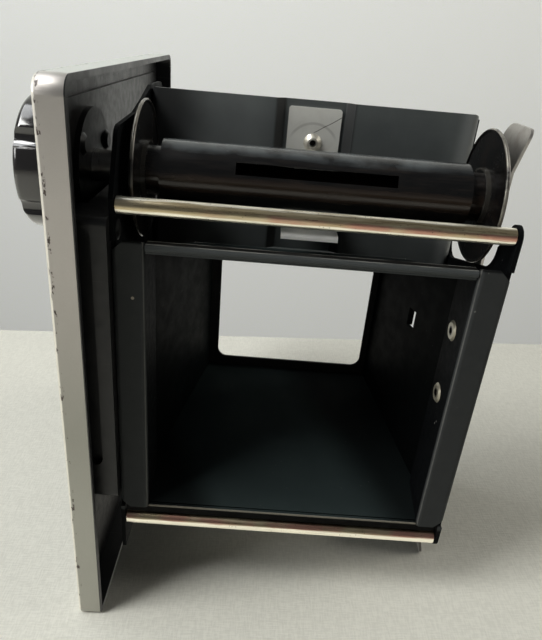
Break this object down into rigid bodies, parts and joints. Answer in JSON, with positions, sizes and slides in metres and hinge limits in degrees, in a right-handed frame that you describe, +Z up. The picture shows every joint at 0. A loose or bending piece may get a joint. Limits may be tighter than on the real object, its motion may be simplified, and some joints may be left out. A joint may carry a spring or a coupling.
{
  "type": "roll-film carrier",
  "caption": "Roll-film carrier of a square-format box camera: film gate and light tunnel between two cheeks, with rollers, take-up spool, side cover and winding knob.",
  "frame": {"origin": "centre of the film gate, on the film plane where the film runs over the rails", "axes": "+X along the spools from the side cover to the spring arms, +Y from the film to the lens, +Z up to the take-up spool"},
  "size_m": [0.0888, 0.0906, 0.112],
  "materials": {
    "cover_paint": "satin",
    "black_japan": "semi-gloss",
    "tunnel_black": "matt",
    "leather_cloth": "grained",
    "plated_steel": "worn plate",
    "roller_nickel": "worn nickel on brass",
    "bakelite": "polished",
    "bare_steel": "grey, dull",
    "brass": "dull",
    "spool_japan": "worn gloss"
  },
  "bodies": {
    "carrier": {"cover_pan": "cover_paint", "side_covering": "leather_cloth", "inner_panel": "black_japan", "spacer_frame": "black_japan", "spacer_rivets": "black_japan", "left_cheek": "black_japan", "right_cheek": "black_japan", "light_tunnel": "tunnel_black", "aperture_plate": "tunnel_black", "gate_eyelets": "brass", "upper_back_plate": "black_japan", "lower_back_plate": "black_japan", "back_plate_rivets": "black_japan", "shaft_bush": "black_japan", "bush_rivets": "black_japan", "supply_stud": "bare_steel"},
    "knob_carriage": {"knob_washer": "brass"},
    "winder": {"winding_knob": "bakelite", "winding_shaft": "bare_steel", "knob_screw": "plated_steel"},
    "spool": {"spool_core": "spool_japan", "spool_left_flange": "spool_japan", "spool_right_flange": "spool_japan"},
    "upper_roller": {"upper_roller": "roller_nickel"},
    "lower_roller": {"lower_roller": "roller_nickel"},
    "upper_arm": {"upper_spring_arm": "bare_steel", "upper_pivot_stud": "bare_steel", "upper_arm_rivets": "bare_steel"},
    "lower_arm": {"lower_spring_arm": "bare_steel", "lower_pivot_stud": "bare_steel", "lower_arm_rivets": "bare_steel"},
    "upper_leaf": {"upper_leaf_spring": "plated_steel", "upper_leaf_rivet": "plated_steel"},
    "lower_leaf": {"lower_leaf_spring": "plated_steel", "lower_leaf_rivet": "plated_steel"}
  },
  "joints": [
    {"name": "knob_pull", "type": "slide", "parent": "carrier", "child": "knob_carriage", "axis": [-1, 0, 0], "range_m": [0, 0.005]},
    {"name": "knob_turn", "type": "hinge", "parent": "knob_carriage", "child": "winder", "pos_m": [-0.04, 0.0164, 0.0389], "axis": [1, 0, 0], "continuous": true},
    {"name": "spool_spin", "type": "hinge", "parent": "carrier", "child": "spool", "pos_m": [0, 0.0164, 0.0389], "axis": [1, 0, 0], "continuous": true},
    {"name": "upper_roller_spin", "type": "hinge", "parent": "carrier", "child": "upper_roller", "pos_m": [0, 0.0015, 0.036], "axis": [1, 0, 0], "continuous": true},
    {"name": "lower_roller_spin", "type": "hinge", "parent": "carrier", "child": "lower_roller", "pos_m": [0, 0.0015, -0.0329], "axis": [1, 0, 0], "continuous": true},
    {"name": "upper_arm_flex", "type": "hinge", "parent": "carrier", "child": "upper_arm", "pos_m": [0.0345, 0.019, 0.003], "axis": [0, 1, 0], "range_deg": [0, 6], "stiffness_Nm_per_rad": 1},
    {"name": "lower_arm_flex", "type": "hinge", "parent": "carrier", "child": "lower_arm", "pos_m": [0.0345, 0.019, -0.0011], "axis": [0, -1, 0], "range_deg": [0, 6], "stiffness_Nm_per_rad": 1},
    {"name": "upper_leaf_flex", "type": "hinge", "parent": "carrier", "child": "upper_leaf", "pos_m": [0, 0.0332, 0.0415], "axis": [1, 0, 0], "range_deg": [0, 5], "stiffness_Nm_per_rad": 0.1},
    {"name": "lower_leaf_flex", "type": "hinge", "parent": "carrier", "child": "lower_leaf", "pos_m": [0, 0.0332, -0.0415], "axis": [-1, 0, 0], "range_deg": [0, 5], "stiffness_Nm_per_rad": 0.1}
  ],
  "couplings": [
    {"joint": "spool_spin", "follows": "knob_turn", "ratio": 1}
  ]
}
